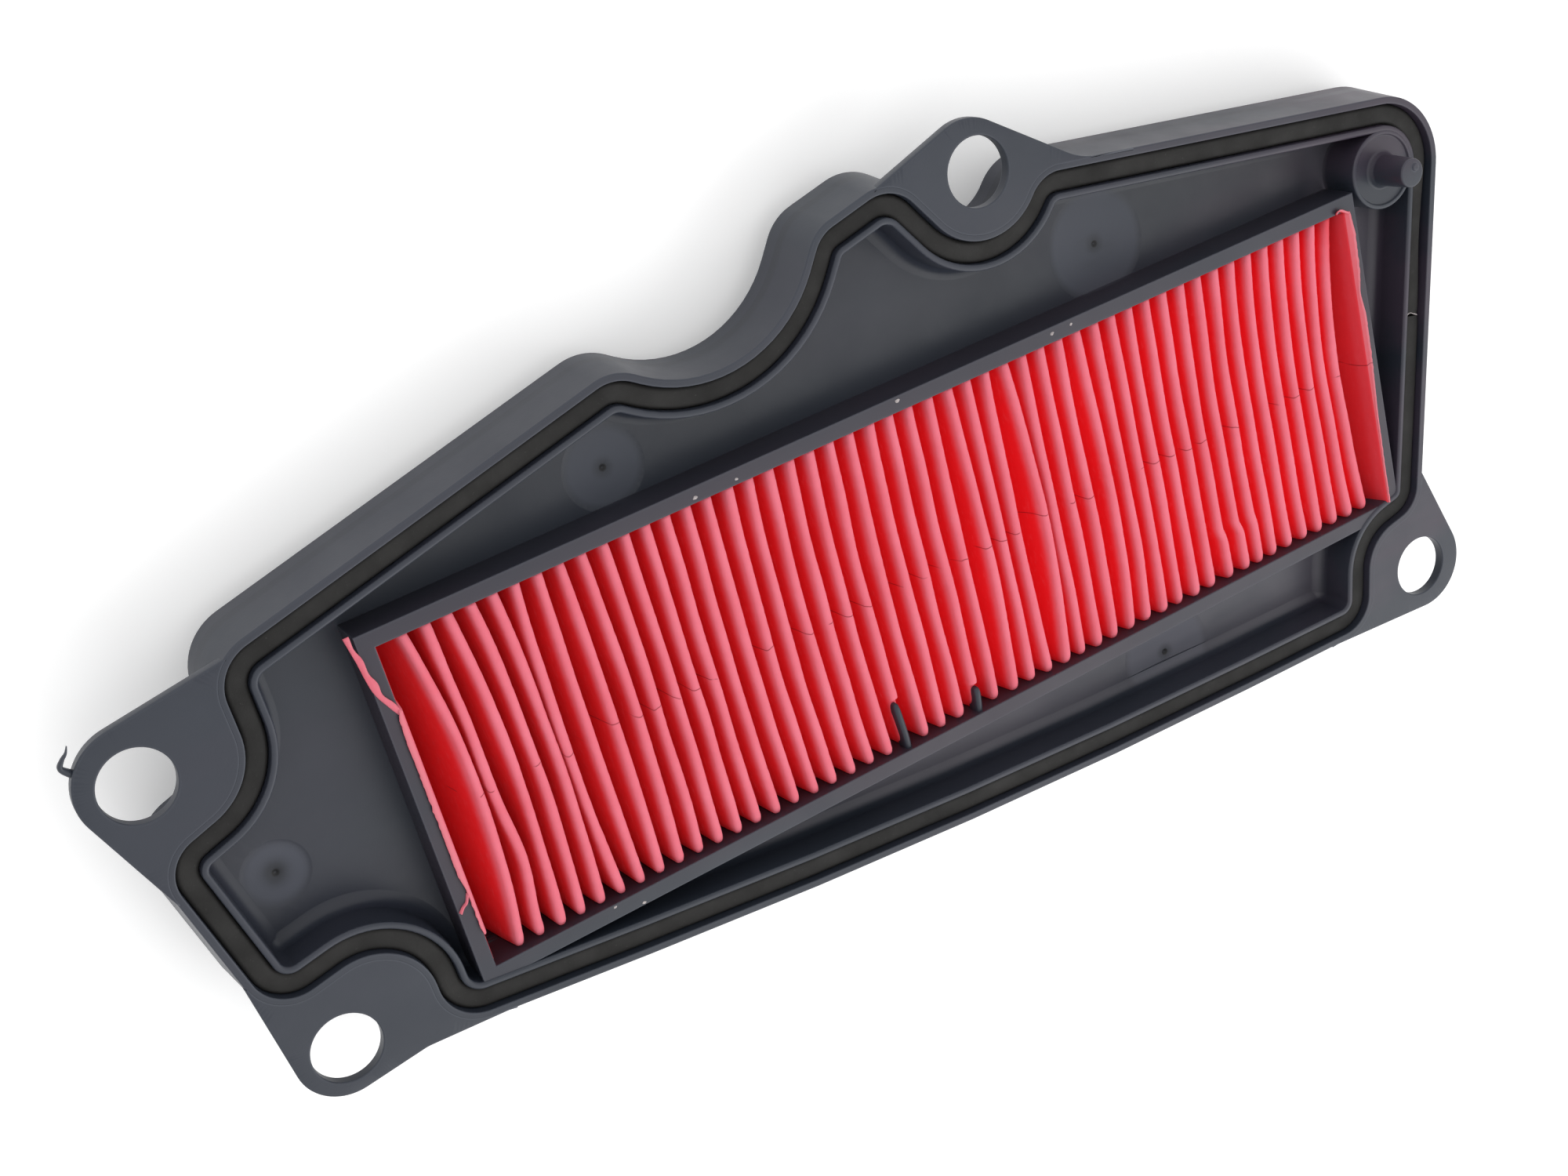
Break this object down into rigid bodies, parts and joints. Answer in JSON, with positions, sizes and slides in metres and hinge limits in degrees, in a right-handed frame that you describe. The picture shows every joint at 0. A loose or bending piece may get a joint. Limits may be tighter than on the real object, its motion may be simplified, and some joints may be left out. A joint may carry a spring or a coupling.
{
  "type": "panel air filter element",
  "caption": "Scooter panel air filter: tray-shaped plastic frame with screw ears, seal cord in its rim groove, and a pleated paper insert in a rectangular window.",
  "frame": {"origin": "middle of the part's outline in plan, level with the cassette's back edge", "axes": "+X along the part's length, from the two left ears towards the corner peg; +Y across it, towards the top ear; +Z out of the sealing face, towards the air-box cover"},
  "size_m": [0.2952, 0.1402, 0.0284],
  "materials": {
    "moulded_plastic": "satin moulded plastic, dark blue-grey",
    "oiled_paper": "matte red oiled filter paper",
    "seal_rubber": "matte black foam rubber"
  },
  "bodies": {
    "root": {"frame": "moulded_plastic", "pleated_paper": "oiled_paper", "seal_cord": "seal_rubber"}
  },
  "joints": []
}
